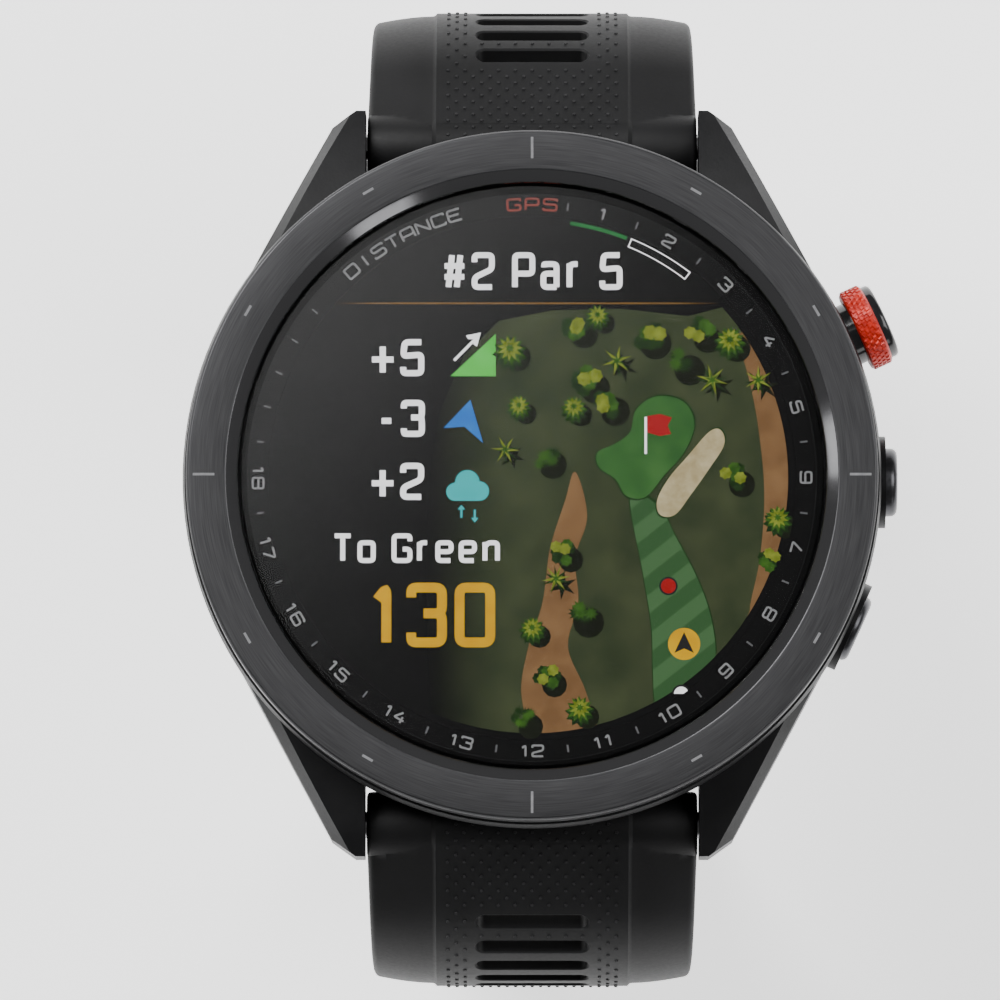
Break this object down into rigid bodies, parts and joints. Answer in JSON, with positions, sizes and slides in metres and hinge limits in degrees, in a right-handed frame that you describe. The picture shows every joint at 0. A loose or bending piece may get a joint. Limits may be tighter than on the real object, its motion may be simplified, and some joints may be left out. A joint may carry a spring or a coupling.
{
  "type": "golf gps watch",
  "caption": "Round wrist watch for golf with a colour display, dark brushed bezel, three side buttons and a closed silicone strap with pin buckle.",
  "frame": {"origin": "centre of the flat sensor window that rests on the wrist", "axes": "+Z out through the dial, +Y to 12 o'clock, +X to the buttons at 3 o'clock"},
  "size_m": [0.0481, 0.0667, 0.0665],
  "materials": {
    "case_polymer": "fibre-reinforced polymer, satin",
    "bezel_metal": "dark coated, circular brushing with a polished inner chamfer",
    "cover_glass": "clear, polished",
    "black_adhesive": "black",
    "antenna_carrier": "plated plastic",
    "black_frame": "matte black",
    "display_glass": "display panel, black when off",
    "dial_print": "black print with light grey numerals",
    "back_polymer": "fine texture",
    "steel_fasteners": "plain steel",
    "seal_rubber": "matte",
    "sensor_glass": "dark tinted",
    "vent_membrane": "fine membrane",
    "port_plastic": "black",
    "gold_contacts": "gold plated",
    "circuit_board": "green solder mask",
    "led_lens": "clear resin",
    "frame_plastic": "glass-filled nylon",
    "switch_metal": "pressed steel",
    "tin_shield": "tinned steel",
    "chip_plastic": "moulded packages",
    "flex_film": "amber polyimide film",
    "battery_foil": "foil pouch",
    "pin_steel": "ground steel",
    "strap_silicone": "matte silicone, dimpled centre lane",
    "hook_plastic": "moulded",
    "latch_metal": "dark coated steel",
    "spring_steel": "drawn wire",
    "buckle_metal": "dark coated, satin brushed",
    "keeper_silicone": "smooth silicone",
    "red_band": "knurled, red anodised",
    "start_cap_metal": "gloss black",
    "button_metal": "dark coated"
  },
  "bodies": {
    "head": {"mid_case": "case_polymer", "bezel_ring": "bezel_metal", "lens": "cover_glass", "lens_seal": "black_adhesive", "antenna_ring": "antenna_carrier", "display_tray": "black_frame", "display_panel": "display_glass", "dial_ring": "dial_print", "rear_cover": "back_polymer", "rear_cover_screws": "steel_fasteners", "rear_gasket": "seal_rubber", "sensor_window": "sensor_glass", "pressure_vent": "vent_membrane", "charging_port": "port_plastic", "charging_contacts": "gold_contacts", "sensor_board": "circuit_board", "sensor_leds": "led_lens", "inner_frame": "frame_plastic", "main_board": "circuit_board", "button_switches": "switch_metal", "shield_cans": "tin_shield", "board_parts": "chip_plastic", "display_flex": "flex_film", "battery": "battery_foil", "vibration_motor": "tin_shield", "button_sleeves": "steel_fasteners", "lug_pin_12": "pin_steel", "lug_pin_6": "pin_steel", "start_button_spring": "spring_steel", "up_button_spring": "spring_steel", "back_button_spring": "spring_steel"},
    "start_button": {"start_button_cap": "start_cap_metal", "start_button_stem": "steel_fasteners", "start_button_seal": "seal_rubber", "start_button_clip": "spring_steel", "start_button_band": "red_band"},
    "up_button": {"up_button_cap": "button_metal", "up_button_stem": "steel_fasteners", "up_button_seal": "seal_rubber", "up_button_clip": "spring_steel"},
    "back_button": {"back_button_cap": "button_metal", "back_button_stem": "steel_fasteners", "back_button_seal": "seal_rubber", "back_button_clip": "spring_steel"},
    "buckle_strap": {"strap_buckle_half": "strap_silicone", "strap_hook_12": "hook_plastic", "latch_springs_12": "spring_steel", "keeper_fixed": "keeper_silicone", "buckle_pin": "pin_steel"},
    "hole_strap": {"strap_hole_half": "strap_silicone", "strap_hook_6": "hook_plastic", "latch_springs_6": "spring_steel"},
    "latch_12": {"release_latch_12": "latch_metal"},
    "latch_6": {"release_latch_6": "latch_metal"},
    "buckle_frame": {"buckle_frame": "buckle_metal"},
    "buckle_tongue": {"buckle_tongue": "buckle_metal"},
    "free_keeper": {"keeper_free": "keeper_silicone"}
  },
  "joints": [
    {"name": "start_press", "type": "slide", "parent": "head", "child": "start_button", "axis": [-0.9063, -0.4226, 0], "range_m": [0, 0.0006], "stiffness_N_per_m": 1500, "springref_m": -0.0005, "deforming": ["start_button_spring"]},
    {"name": "up_press", "type": "slide", "parent": "head", "child": "up_button", "axis": [-1, 0, 0], "range_m": [0, 0.0006], "stiffness_N_per_m": 1500, "springref_m": -0.0005, "deforming": ["up_button_spring"]},
    {"name": "back_press", "type": "slide", "parent": "head", "child": "back_button", "axis": [-0.91, 0.4147, 0], "range_m": [0, 0.0006], "stiffness_N_per_m": 1500, "springref_m": -0.0005, "deforming": ["back_button_spring"]},
    {"name": "hole_strap_swing", "type": "hinge", "parent": "head", "child": "hole_strap", "pos_m": [0, -0.023, 0.005], "axis": [-1, 0, 0], "range_deg": [0, 65], "deforming": ["strap_hole_half"]},
    {"name": "buckle_strap_swing", "type": "hinge", "parent": "head", "child": "buckle_strap", "pos_m": [0, 0.023, 0.005], "axis": [1, 0, 0], "range_deg": [0, 26]},
    {"name": "latch_12_slide", "type": "slide", "parent": "buckle_strap", "child": "latch_12", "axis": [0, 0.8192, -0.5736], "range_m": [0, 0.0012], "stiffness_N_per_m": 250, "springref_m": -0.001, "deforming": ["latch_springs_12"]},
    {"name": "latch_6_slide", "type": "slide", "parent": "hole_strap", "child": "latch_6", "axis": [0, -0.8192, -0.5736], "range_m": [0, 0.0012], "stiffness_N_per_m": 250, "springref_m": -0.001, "deforming": ["latch_springs_6"]},
    {"name": "keeper_slide", "type": "hinge", "parent": "buckle_strap", "child": "free_keeper", "pos_m": [0, -0.023, 0.005], "axis": [1, 0, 0], "range_deg": [-4, 4]},
    {"name": "buckle_frame_turn", "type": "hinge", "parent": "buckle_strap", "child": "buckle_frame", "pos_m": [0, 0.00898, -0.0417], "axis": [1, 0, 0], "range_deg": [0, 35]},
    {"name": "buckle_tongue_turn", "type": "hinge", "parent": "buckle_frame", "child": "buckle_tongue", "pos_m": [0, 0.00898, -0.0417], "axis": [1, 0, 0], "range_deg": [0, 35]}
  ],
  "couplings": [
    {"joint": "buckle_strap_swing", "follows": "hole_strap_swing", "ratio": 0.4}
  ]
}
